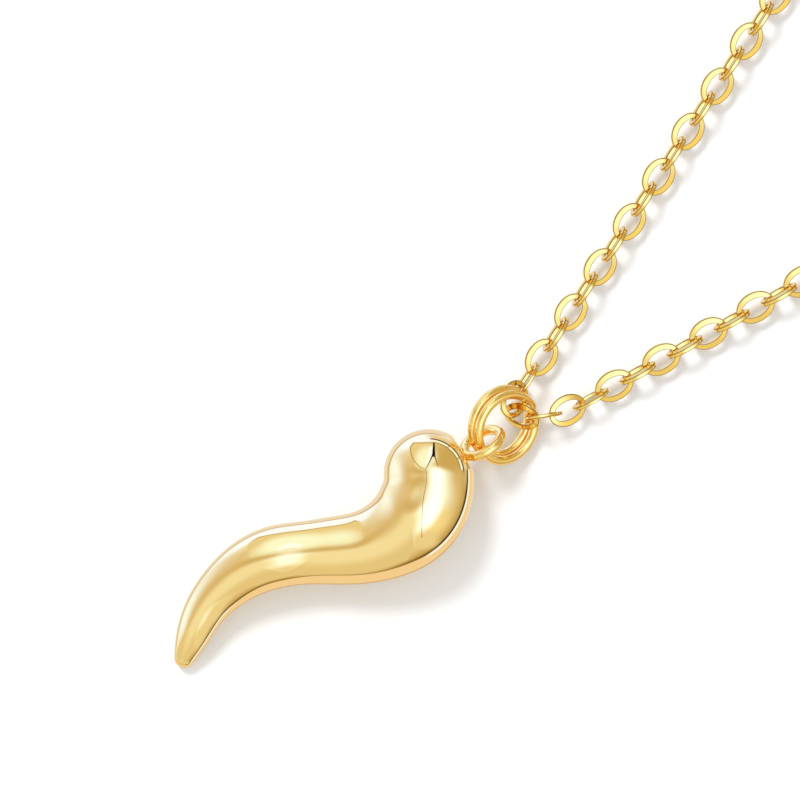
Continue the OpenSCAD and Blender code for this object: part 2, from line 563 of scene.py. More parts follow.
FINISHES = {
    Slot.HORN: GoldFinish(
        "horn_polish", deep=(0.99, 0.73, 0.37), pale=(1.0, 0.75, 0.39), tone_scale=90.0,
        smooth=0.03, worn=0.05, mark_scale=700.0, mark_depth=1e-7,
    ),
    Slot.RING: GoldFinish(
        "ring_polish", deep=(1.0, 0.64, 0.2), pale=(1.0, 0.71, 0.27), tone_scale=300.0,
        smooth=0.05, worn=0.1, mark_scale=2500.0, mark_depth=4e-7,
    ),
    Slot.CHAIN: GoldFinish(
        "chain_polish", deep=(1.0, 0.66, 0.18), pale=(1.0, 0.72, 0.25), tone_scale=260.0,
        smooth=0.06, worn=0.12, mark_scale=3000.0, mark_depth=4e-7,
        # Painted shade along the link edges, in place of the dark things they mirror
        edge=(0.26, 0.1, 0.015), edge_shade_amount=0.9,
    ),
    Slot.CLASP: GoldFinish(
        "clasp_polish", deep=(0.98, 0.66, 0.24), pale=(1.0, 0.7, 0.28), tone_scale=200.0,
        smooth=0.05, worn=0.1, mark_scale=1800.0, mark_depth=4e-7,
    ),
}


# ---------------------------------------------------------------- split ring


@dataclass
class SplitRing:
    """One round wire wound in almost two turns, leaning on its low side."""

    outside: float = 5.3
    wire: float = 0.64
    gap: float = 0.03
    slip: float = 0.18
    slip_at: float = -41.0
    lean: float = 40.0
    turn: float = -69.0
    start: float = 86.0
    cross_from: float = 34.0
    cross_to: float = 60.0
    end: float = 34.0
    step: float = 2.5
    sides: int = 24
    end_round: float = 0.07
    end_angle: float = 1.2

    @property
    def radius(self) -> float:
        """Radius of the middle of the wire."""
        return (self.outside - self.wire) / 2

    @property
    def middle(self) -> float:
        """Works out the height of the ring's middle.

        Returns:
            The height at which the low side rests on the surface.
        """
        lean = math.radians(self.lean)
        half_step = (self.wire + self.gap) / 2
        return self.radius * math.sin(lean) + half_step * math.cos(lean) + self.wire / 2

    def place(
        self, angle: np.ndarray, radius: np.ndarray, height: np.ndarray
    ) -> np.ndarray:
        """Finds points of the leaning ring.

        Args:
            angle: Angles from the ring's low point, in degrees.
            radius: Distances from its middle.
            height: Heights off its own plane.

        Returns:
            The points in the part's own frame.
        """
        a, lean = np.radians(angle), math.radians(self.lean)
        x = radius * np.cos(a) * math.cos(lean) + height * math.sin(lean)
        y = radius * np.sin(a)
        z = self.middle - radius * np.cos(a) * math.sin(lean) + height * math.cos(lean)
        c, s = heading(self.turn)
        return np.stack([x * c - y * s, x * s + y * c, z + 0 * x], axis=-1)

    def build(self) -> Object:
        """Builds the wound wire.

        Returns:
            The piece.
        """
        length = self.end + 720 - self.start
        count = round(length / self.step)
        a = self.start + length * np.arange(count + 1) / count
        t = np.clip((a - 360 - self.cross_from) / (self.cross_to - self.cross_from), 0, 1)
        up = t * t * (3 - 2 * t) - 0.5
        size = np.full(len(a), self.wire / 2)
        around = np.radians(360 * np.arange(self.sides) / self.sides)
        # Each end is drawn in over a short stretch so that its edge is round
        reach = self.end_angle
        a = np.concatenate([[a[0], a[0] + reach], a[1:-1], [a[-1] - reach, a[-1]]])
        up = np.concatenate([[up[0]], up, [up[-1]]])
        drawn_in = [self.wire / 2 - self.end_round]
        size = np.concatenate([drawn_in, size, drawn_in])
        radius = self.radius + size[:, None] * np.cos(around)
        height = (self.wire + self.gap) * up[:, None] + size[:, None] * np.sin(around)
        points = self.place(a[:, None], radius, height)
        zero = np.zeros(len(a))
        slip = self.place(np.full(len(a), self.slip_at), self.slip * up, zero)
        points = points + (slip - self.place(zero, zero, zero))[:, None, :] + SHIFT
        faces = skin(points, closed=False, caps=True)
        return make_piece("split_ring_wire", points.reshape(-1, 3), faces, Slot.RING)


# ---------------------------------------------------------------- horn


@dataclass
class Horn:
    """The curved charm with the eye soldered to the flat on its head.

    Each row of sections has the place along the line from tip to head as a share of
    the length, the swing off that line as a share of the sway, and the thickness as a
    share of the greatest.
    """

    length: float = 25.0
    thickness: float = 6.2
    sway: float = 2.8
    turn: float = -6.0
    flat_in: float = 0.35
    flat_edge: float = 0.05
    flat_reach: float = 1.0
    eye_outside: float = 3.4
    eye_wire: float = 0.7
    eye_lean: float = 60.0
    eye_turn: float = -13.0
    eye_sink: float = 0.2
    eye_at: float = -120.0
    eye_seat: float = 0.35
    eye_rings: int = 96
    eye_sides: int = 28
    solder: tuple[float, float, float] = (0.22, 0.62, 0.5)
    solder_lift: float = 0.02
    solder_rings: int = 14
    solder_sides: int = 32
    steps: int = 12
    sides: int = 112
    head_rings: int = 40
    tip_rings: int = 14
    sections: tuple[tuple[float, float, float], ...] = (
        (0.022, 0.08, 0.208),
        (0.082, 0.42, 0.364),
        (0.160, 0.77, 0.467),
        (0.240, 0.92, 0.560),
        (0.320, 0.91, 0.644),
        (0.390, 0.74, 0.686),
        (0.460, 0.40, 0.692),
        (0.530, 0.00, 0.745),
        (0.600, -0.36, 0.805),
        (0.670, -0.55, 0.893),
        (0.740, -0.56, 0.980),
        (0.800, -0.37, 1.00),
        (0.856, 0.11, 0.984),
    )

    @property
    def head_radius(self) -> float:
        """Radius of the head."""
        return self.thickness * self.sections[-1][2] / 2

    def eye_place(self, ring: SplitRing) -> np.ndarray:
        """Returns the middle of the eye in the part's own frame."""
        radius = np.array(ring.radius - self.eye_seat)
        return ring.place(np.array(self.eye_at), radius, np.array(0.0))

    def head_place(self, ring: SplitRing) -> np.ndarray:
        """Finds the middle of the head.

        Args:
            ring: The split ring that the eye hangs on.

        Returns:
            Its place on the surface in the part's own frame.
        """
        reach = self.head_radius - self.flat_in + self.eye_outside / 2 - self.eye_sink
        return self.eye_place(ring)[:2] - reach * heading(self.eye_turn)

    def loops(self) -> np.ndarray:
        """Makes the sections of the horn, with round ends.

        Returns:
            Middles, directions, radii and heights, one row for each section.
        """
        rows = np.array(self.sections)
        path = np.column_stack([rows[:, 0] * self.length, rows[:, 1] * self.sway])
        spans = np.linalg.norm(np.diff(path, axis=0), axis=1)
        at = np.concatenate([[0], np.cumsum(spans)])
        radius = rows[:, 2] * self.thickness / 2
        line = smooth_curve(at, path)
        size = smooth_curve(at, radius[:, None], level_end=True)
        q = np.linspace(0, at[-1], self.steps * (len(rows) - 1) + 1)
        nudge = 1e-3
        xy = line.value(q)
        way = line.value(q + nudge) - line.value(q - nudge)
        way /= np.linalg.norm(way, axis=1, keepdims=True)
        r = size.value(q)[:, 0]
        # The tip's ball meets the taper without an edge
        slope = (r[1] - r[0]) / (q[1] - q[0])
        ball = r[0] * math.hypot(1, slope)
        a = np.linspace(math.pi / 2, math.atan(slope), self.tip_rings, endpoint=False)
        along = r[0] * slope - ball * np.sin(a)
        tip = self.round_end(xy[0], way[0], along, ball * np.cos(a), r[0])
        a = np.linspace(0, math.pi / 2, self.head_rings)[1:]
        along, radius = r[-1] * np.sin(a), r[-1] * np.cos(a)
        head = self.round_end(xy[-1], way[-1], along, radius, r[-1])
        return np.vstack([tip, np.column_stack([xy, way, r, r]), head])

    def round_end(
        self, middle: np.ndarray, way: np.ndarray, along: np.ndarray, radius: np.ndarray,
        height: float,
    ) -> np.ndarray:
        """Makes the sections of a round end.

        Args:
            middle: Middle of the section that the end starts from.
            way: Direction of the horn there.
            along: How far each section lies from there.
            radius: Radius of each section.
            height: Height of the end's middle.

        Returns:
            One row for each section, as loops returns them.
        """
        n = len(along)
        path = middle + along[:, None] * way
        return np.column_stack([path, np.tile(way, (n, 1)), radius, np.full(n, height)])

    def build_body(self, ring: SplitRing) -> Object:
        """Builds the horn with its flat.

        Args:
            ring: The split ring that the eye hangs on.

        Returns:
            The piece.
        """
        rows = self.loops()
        around = np.radians(360 * np.arange(self.sides) / self.sides - 90)
        inner = rows[1:-1]
        points = np.empty((len(inner), self.sides, 3))
        points[..., 0] = inner[:, 0:1] - inner[:, 4:5] * np.cos(around) * inner[:, 3:4]
        points[..., 1] = inner[:, 1:2] + inner[:, 4:5] * np.cos(around) * inner[:, 2:3]
        points[..., 2] = inner[:, 5:6] + inner[:, 4:5] * np.sin(around)
        faces = [tuple(reversed(f)) for f in skin(points, closed=False, caps=False)]
        count = len(inner) * self.sides
        last = count - self.sides
        for k in range(self.sides):
            n = (k + 1) % self.sides
            faces.append((k, n, count))
            faces.append((last + n, last + k, count + 1))
        poles = rows[[0, -1]][:, [0, 1, 5]]
        points = np.vstack([points.reshape(-1, 3), poles])
        middle = np.array(self.sections[-1][:2]) * (self.length, self.sway)
        spin = rotation(z=self.turn)[:2, :2]
        points[:, :2] = (points[:, :2] - middle) @ spin.T + self.head_place(ring)
        points = self.file_flat(points, ring) + SHIFT
        return make_piece("horn_body", points, faces, Slot.HORN)

    def file_flat(self, points: np.ndarray, ring: SplitRing) -> np.ndarray:
        """Presses the points past the flat back onto it.

        Args:
            points: Points of the horn in the part's own frame.
            ring: The split ring that the eye hangs on.

        Returns:
            The points with the flat filed in, its edge a little round.
        """
        way = np.array([*heading(self.eye_turn), 0.0])
        head = np.array([*self.head_place(ring), 0.0])
        depth = (points - head) @ way - (self.head_radius - self.flat_in)
        near = depth > -self.flat_reach
        soft, limit = self.flat_edge, 60.0
        pressed = -soft * np.log1p(np.exp(np.clip(-depth / soft, -limit, limit)))
        moved = points.copy()
        moved[near] += (pressed - depth)[near, None] * way
        return moved

    def build_eye(self, ring: SplitRing) -> Object:
        """Builds the eye with its solder.

        Args:
            ring: The split ring that the eye hangs on.

        Returns:
            The piece.
        """
        radius = (self.eye_outside - self.eye_wire) / 2
        turned = rotation(x=-self.eye_lean, z=self.eye_turn)
        place = self.eye_place(ring)
        points = torus(radius, self.eye_wire / 2, self.eye_rings, self.eye_sides)
        faces = skin(points, closed=True, caps=False)
        eye = points.reshape(-1, 3) @ turned.T + place, faces
        way = np.array([*heading(self.eye_turn), 0.0])
        joint = place - (self.eye_outside / 2 - self.eye_sink - self.solder_lift) * way
        blob, blob_faces = self.solder_blob()
        solder = blob @ rotation(z=self.eye_turn).T + joint, blob_faces
        points, faces = joined([eye, solder])
        return make_piece("horn_eye", points + SHIFT, faces, Slot.RING)

    def solder_blob(self) -> Skin:
        """Makes the low mound of solder between flat and eye.

        Returns:
            Its points about its own middle, and its faces.
        """
        a = math.pi * np.arange(1, self.solder_rings)[:, None] / self.solder_rings
        b = 2 * math.pi * np.arange(self.solder_sides)[None, :] / self.solder_sides
        grid = np.stack(
            [np.cos(a) + 0 * b, np.sin(a) * np.cos(b), np.sin(a) * np.sin(b)], axis=-1
        )
        faces = skin(grid, closed=False, caps=True)
        return grid.reshape(-1, 3) * self.solder, faces


# ---------------------------------------------------------------- chain


@dataclass
class Link:
    """One oval link of softly rounded wire, flat in its own plane."""

    pitch: float = 1.82
    width: float = 2.08
    side: float = 0.43
    end: float = 0.34
    thick: float = 0.26
    gap: float = 0.2
    corner: Point = (0.24, 0.34)
    bold: float = 0.1
    thin_out: float = 0.2
    dish: float = 0.029
    corner_rest: Point = (0.2, 0.15)
    around: int = 32

    @property
    def hole_width(self) -> float:
        """Width of the hole."""
        return self.width - 2 * self.side

    @property
    def hole_length(self) -> float:
        """Length of the hole."""
        room = 1 - (self.thick / self.hole_width) ** 2
        return (self.pitch + self.gap) / math.sqrt(room)

    @property
    def length(self) -> float:
        """Length of the link."""
        return self.hole_length + 2 * self.end

    def reach(self, wire: float) -> float:
        """Finds how far off the hole's middle a round wire can lie.

        Args:
            wire: Thickness of the wire.

        Returns:
            The distance along the link.
        """
        need = wire / 2 + self.gap
        room = max(0.0, self.hole_width**2 / 4 - need * need)
        spread = self.hole_length**2 - self.hole_width**2
        return math.sqrt(spread * room) / self.hole_width

    def section(self) -> np.ndarray:
        """Makes the wire's section, flat on its four sides with round corners.

        Returns:
            Its points, from -1 to 1 both ways.
        """
        wide, high = self.corner
        side_rest, top_rest = self.corner_rest
        a = np.radians([0, 30, 60, 90])
        arc = np.column_stack([1 - wide + wide * np.cos(a), 1 - high + high * np.sin(a)])
        first = np.vstack([[1, 1 - side_rest - high], arc, [1 - top_rest - wide, 1]])
        second = first[::-1] * (-1, 1)
        return np.vstack([first, second, -first, -second])

    @property
    def edge(self) -> np.ndarray:
        """Returns how near each point of the section lies to a corner, which sets the
        painted edge shade there.
        """
        return np.tile([0.0, 0.5, 1.0, 1.0, 0.5, 0.0], 4)

    def points(self, thick: float) -> np.ndarray:
        """Makes the link about its own middle, long along X.

        Args:
            thick: Thickness of the wire across the link's plane.

        Returns:
            The points in an array of loops by sides by 3.
        """
        a = 2 * math.pi * np.arange(self.around) / self.around
        outer = np.column_stack([self.length / 2 * np.cos(a), self.width / 2 * np.sin(a)])
        inner = np.column_stack(
            [self.hole_length / 2 * np.cos(a), self.hole_width / 2 * np.sin(a)]
        )
        across, up = self.section().T
        middle, half = (outer + inner) / 2, (outer - inner) / 2
        flat = middle[:, None, :] + half[:, None, :] * across[None, :, None]
        up = up * thick / 2 * (1 - self.thin_out * (1 + across) / 2) - self.dish * across
        height = np.broadcast_to(up, (self.around, len(up)))
        return np.concatenate([flat, height[..., None]], axis=-1)


@dataclass
class Necklace:
    """The closed chain: two strands, the links in the split ring and the clasp.

    Each row of the route has the x, y and z of a link at the split ring in the part's own
    frame, then its direction, its rise and its roll in degrees.
    """

    link: Link
    length: float = 450.0
    roll: float = 15.0
    strand_angle: float = 28.0
    apex: Point = (-3.4, -0.5)
    upper_start: float = 6.83
    lower_start: float = 9.19
    clasp_outside: float = 5.5
    clasp_wire: float = 0.8
    clasp_eye_outside: float = 2.2
    clasp_eye_wire: float = 0.5
    tab_height: float = 0.45
    route: tuple[tuple[float, float, float, float, float, float], ...] = (
        (1.70, 0.80, 1.38, 23, -20, 29),
        (1.31, -0.40, 1.70, -51, 30, 35),
        (2.40, -1.41, 1.98, -34, -30, 90),
        (3.83, -2.22, 1.36, -14, -15, 13),
    )
    upper_route: int = 2
    clasp_steps: tuple[int, int] = (96, 24)
    clasp_eye_steps: tuple[int, int] = (64, 20)
    tab_share: float = 0.3
    tab_steps: tuple[int, int] = (7, 24)

    def __post_init__(self) -> None:
        """Works out the loop that the strands follow."""
        link = self.link
        self.link_height = math.hypot(link.width, link.thick) / 2
        self.clasp_radius = (self.clasp_outside - self.clasp_wire) / 2
        self.clasp_eye_radius = (self.clasp_eye_outside - self.clasp_eye_wire) / 2
        self.clasp_eye_x = (
            self.clasp_radius + self.clasp_eye_radius
            + (self.clasp_wire + self.clasp_eye_wire) / 4
        )
        span = (
            link.reach(self.clasp_wire) + self.clasp_radius + self.clasp_eye_x
            + self.clasp_eye_radius + link.reach(self.clasp_eye_wire)
        )
        pairs = math.floor(((self.length - span) / link.pitch - len(self.route)) / 4)
        self.count = 2 * pairs + 1
        self.strand = (self.count - 1) * link.pitch
        self.loop = self.upper_start + self.lower_start + 2 * self.strand + span
        self.half = self.strand_angle / 2
        self.arc = 180 + self.strand_angle
        tan = math.tan(math.radians(self.half))
        self.straight = self.loop / (2 + tan * math.radians(self.arc))
        self.arc_radius = self.straight * tan
        self.arc_x = self.apex[0] + self.straight / math.cos(math.radians(self.half))

    def on_loop(self, s: float) -> tuple[float, float, float, float]:
        """Finds a place on the loop.

        Args:
            s: Distance from the apex along the loop.

        Returns:
            Its x and y in the part's own frame, its direction and its roll.
        """
        if s < self.straight:
            x, y = np.array(self.apex) + s * heading(self.half)
            return x, y, self.half, self.roll
        if s > self.loop - self.straight:
            x, y = np.array(self.apex) + (self.loop - s) * heading(-self.half)
            return x, y, 180 - self.half, -self.roll
        turn = math.degrees((s - self.straight) / self.arc_radius)
        middle = np.array([self.arc_x, self.apex[1]])
        x, y = middle + self.arc_radius * heading(90 + self.half - turn)
        return x, y, self.half - turn, self.roll * (1 - 2 * turn / self.arc)

    def places(self, side: Side) -> list[tuple[np.ndarray, np.ndarray]]:
        """Lists the links of one strand.

        Args:
            side: The strand.

        Returns:
            The turn and the middle of each link in the part's own frame.
        """
        out = []
        for j in range(self.count):
            run = j * self.link.pitch
            if side is Side.UPPER:
                s = self.upper_start + run
            else:
                s = self.loop - self.lower_start - run
            x, y, way, roll = self.on_loop(s)
            upright = 90 if j % 2 == 0 else 0
            middle = np.array([x, y, self.link_height])
            out.append((rotation(x=roll + upright, z=way), middle))
        split = self.upper_route
        rows = self.route[:split] if side is Side.UPPER else self.route[split:]
        for x, y, z, way, rise, roll in rows:
            out.append((rotation(x=roll, y=-rise, z=way), np.array([x, y, z])))
        return out

    def build_strand(self, side: Side) -> Object:
        """Builds the links of one strand.

        Args:
            side: The strand.

        Returns:
            The piece.
        """
        # The links at the split ring lie close together and keep the plain thickness
        fine = self.link.points(self.link.thick)
        bold = self.link.points(self.link.thick + self.link.bold)
        one_faces = skin(fine, closed=True, caps=False)
        links = []
        for j, (turn, middle) in enumerate(self.places(side)):
            one = (bold if 0 < j < self.count else fine).reshape(-1, 3)
            links.append((one @ turn.T + middle + SHIFT, one_faces))
        piece = make_piece(side.value + "_links", *joined(links), Slot.CHAIN)
        # Marks where painted shade darkens the edges of every link
        mark_painted_edge_shade(piece, np.tile(self.link.edge, self.link.around * len(links)))
        return piece

    def build_clasp(self) -> Object:
        """Builds the closing ring with its small eye and thumb tab.

        Returns:
            The piece.
        """
        first = self.on_loop(self.upper_start + self.strand)
        last = self.on_loop(self.loop - self.lower_start - self.strand)
        way = math.degrees(math.atan2(last[1] - first[1], last[0] - first[0]))
        ring_xy = np.array(first[:2]) + (
            self.link.reach(self.clasp_wire) + self.clasp_radius
        ) * heading(way)
        ring = torus(self.clasp_radius, self.clasp_wire / 2, *self.clasp_steps)
        eye = torus(self.clasp_eye_radius, self.clasp_eye_wire / 2, *self.clasp_eye_steps)
        eye[..., 0] += self.clasp_eye_x
        points, faces = joined([
            (grid.reshape(-1, 3), skin(grid, closed=closed, caps=not closed))
            for grid, closed in ((ring, True), (eye, True), (self.tab(), False))
        ])
        middle = np.array([*ring_xy, self.link_height]) + SHIFT
        return make_piece(
            "clasp_ring", points @ rotation(z=way).T + middle, faces, Slot.CLASP
        )

    def tab(self) -> np.ndarray:
        """Makes the thumb tab, a short peg with a round top.

        Returns:
            Its points in an array of loops by sides by 3.
        """
        radius = self.clasp_wire * self.tab_share
        top = self.clasp_wire / 2 + self.tab_height
        steps, sides = self.tab_steps
        around = 2 * math.pi * np.arange(sides) / sides
        rows = [(radius, 0.0), (radius, top - radius)]
        for k in range(1, steps):
            a = math.pi / 2 * k / steps
            rows.append((radius * math.cos(a), top - radius + radius * math.sin(a)))
        r, z = (np.array(column)[:, None] for column in zip(*rows))
        y = self.clasp_radius + r * np.sin(around)
        return np.stack([r * np.cos(around), y, z + 0 * y], axis=-1)


# ---------------------------------------------------------------- studio


# The furthest slant that an oval panel counts with
SLANT_LIMIT = 0.95


class Shape(Enum):
    """Outlines of a light panel."""

    BLOCK = "block"
    OVAL = "oval"
    BAND = "band"


@dataclass(frozen=True)
class Panel:
    """A panel of the studio's light, as the polished metal shows it.

    Places are on the round chart of directions on which the zenith is the middle, the
    horizon lies 0.71 from it and the nadir is the rim. X on the chart runs to the
    picture's right and Y to its top.
    """

    shape: Shape
    shows: Colour
    corners: tuple[Point, ...] = ()
    middle: Point = (0.0, 0.0)
    size: Point = (1.0, 1.0)
    turn: float = 0.0
    soft: float = 0.02
    strength: float = 1.0
    gain: float = 1.0
    toward: tuple[float, float, float, float] | None = None

    def slant(self) -> float:
        """Finds how far out on the chart the panel lies.

        Returns:
            The distance of its middle from the middle of the chart.
        """
        if self.shape is Shape.BAND:
            return (self.size[0] + min(self.size[1], 1.0)) / 2
        if self.shape is Shape.OVAL:
            return min(SLANT_LIMIT, math.hypot(*self.middle))
        return math.hypot(*(sum(values) / len(values) for values in zip(*self.corners)))

    def light(self) -> Light:
        """Works out the light that makes the gold show this colour."""
        bare = (1 - math.sqrt(1 - self.slant() ** 2)) ** 5
        return light_for(self.shows, self.gain, bare)


class StudioLight(Nodes):
    """The world's shader: a light tent that the metal mirrors, and a plain even glow."""

    def __init__(self, base: Colour) -> None:
        """Starts the world with one even colour.

        Args:
            base: Colour that the gold shows where there is no panel.
        """
        self.world = bpy.data.worlds.new("studio")
        self.world.use_nodes = True
        super().__init__(self.world.node_tree)
        self.place = self.chart()
        self.colour = self.node("RGB").outputs[0]
        self.colour.default_value = light_for(base)

    def math(self, kind: str, *values: object) -> NodeSocket:
        """Adds a node that works on numbers."""
        return self.node("Math", dict(enumerate(values)), operation=kind).outputs[0]

    def vector(self, kind: str, *values: object) -> NodeSocket:
        """Adds a node that works on vectors and gives a vector."""
        return self.node("VectorMath", dict(enumerate(values)), operation=kind).outputs[0]

    def dot(self, a: float, b: float, c: float) -> NodeSocket:
        """Returns a x + b y + c for the place on the chart."""
        inputs = {0: self.place, 1: (a, b, c)}
        return self.node("VectorMath", inputs, operation="DOT_PRODUCT").outputs["Value"]

    def far_from(self, middle: Point) -> NodeSocket:
        """Returns the distance on the chart from a point."""
        inputs = {0: self.place, 1: (*middle, 1.0)}
        return self.node("VectorMath", inputs, operation="DISTANCE").outputs["Value"]

    def step(self, value: NodeSocket, lo: float, hi: float) -> NodeSocket:
        """Turns a value into a smooth step.

        Args:
            value: The value.
            lo: Where the step is 0.
            hi: Where the step is 1, on either side of lo.

        Returns:
            The socket of the step.
        """
        ends = (lo, hi, 0.0, 1.0) if lo < hi else (hi, lo, 1.0, 0.0)
        inputs = dict(zip(("From Min", "From Max", "To Min", "To Max"), ends))
        inputs["Value"] = value
        made = self.node("MapRange", inputs, interpolation_type="SMOOTHSTEP")
        return made.outputs["Result"]

    def chart(self) -> NodeSocket:
        """Works out the place on the chart for each direction.

        Returns:
            A vector of x, y and 1.
        """
        ray = self.node("TexCoord").outputs["Generated"]
        turned = self.node(
            "VectorRotate", {"Vector": ray, "Angle": math.radians(PICTURE_TURN)},
            rotation_type="Z_AXIS",
        )
        # A little more than 1, so that the way straight down has a length too
        lift = (0.0, 0.0, 1.00001)
        unit = self.vector("NORMALIZE", self.vector("ADD", turned.outputs[0], lift))
        return self.vector("MULTIPLY_ADD", unit, (1.0, 1.0, 0.0), (0.0, 0.0, 1.0))

    def mask(self, panel: Panel) -> NodeSocket:
        """Draws the outline of a panel.

        Args:
            panel: The panel.

        Returns:
            1 inside the panel and 0 outside.
        """
        if panel.shape is Shape.BLOCK:
            made = self.block(panel)
        elif panel.shape is Shape.OVAL:
            c, s = heading(panel.turn)
            x, y = panel.middle
            wide, high = panel.size
            u = self.dot(c / wide, s / wide, -(c * x + s * y) / wide)
            v = self.dot(-s / high, c / high, (s * x - c * y) / high)
            squares = (self.math("MULTIPLY", value, value) for value in (u, v))
            far = self.math("SQRT", self.math("ADD", *squares))
            made = self.step(far, 1 + panel.soft, 1 - panel.soft)
        else:
            far = self.far_from(panel.middle)
            lo, hi = panel.size
            made = self.math(
                "MULTIPLY",
                self.step(far, lo - panel.soft, lo + panel.soft),
                self.step(far, hi + panel.soft, hi - panel.soft),
            )
        if panel.toward is not None:
            x, y, lo, hi = panel.toward
            made = self.math("MULTIPLY", made, self.step(self.dot(x, y, 0.0), lo, hi))
        if panel.strength != 1.0:
            made = self.math("MULTIPLY", made, panel.strength)
        return made

    def block(self, panel: Panel) -> NodeSocket:
        """Draws a panel with straight edges between its corners.

        Args:
            panel: The panel, its corners clockwise.

        Returns:
            1 inside the panel and 0 outside.
        """
        inside = None
        corners = panel.corners
        for (x0, y0), (x1, y1) in zip(corners, corners[1:] + corners[:1]):
            edge = math.hypot(x1 - x0, y1 - y0)
            nx, ny = (y1 - y0) / edge, -(x1 - x0) / edge
            depth = self.dot(nx, ny, -(nx * x0 + ny * y0))
            inside = depth if inside is None else self.math("MINIMUM", inside, depth)
        return self.step(inside, -panel.soft, panel.soft)

    def add(self, panel: Panel) -> None:
        """Lays a panel over what is there."""
        self.colour = self.mix_colour(self.mask(panel), self.colour, panel.light())

    def finish(self, glow: float, backdrop: float) -> None:
        """Joins the light tent and the even glow.

        Args:
            glow: Strength of the even light on the surface.
            backdrop: Brightness of the plain backdrop.
        """
        tent = self.node("Background", {"Color": self.colour})
        even = self.node("Background", {"Color": (1, 1, 1, 1), "Strength": glow})
        wall = self.node("Background", {"Color": (backdrop, backdrop, backdrop, 1)})
        path = self.node("LightPath").outputs
        shiny = self.mix_shader(path["Is Glossy Ray"], even.outputs[0], tent.outputs[0])
        seen = self.mix_shader(path["Is Camera Ray"], shiny, wall.outputs[0])
        self.node("OutputWorld", {"Surface": seen})
        self.world.cycles.sampling_method = "NONE"
        bpy.context.scene.world = self.world


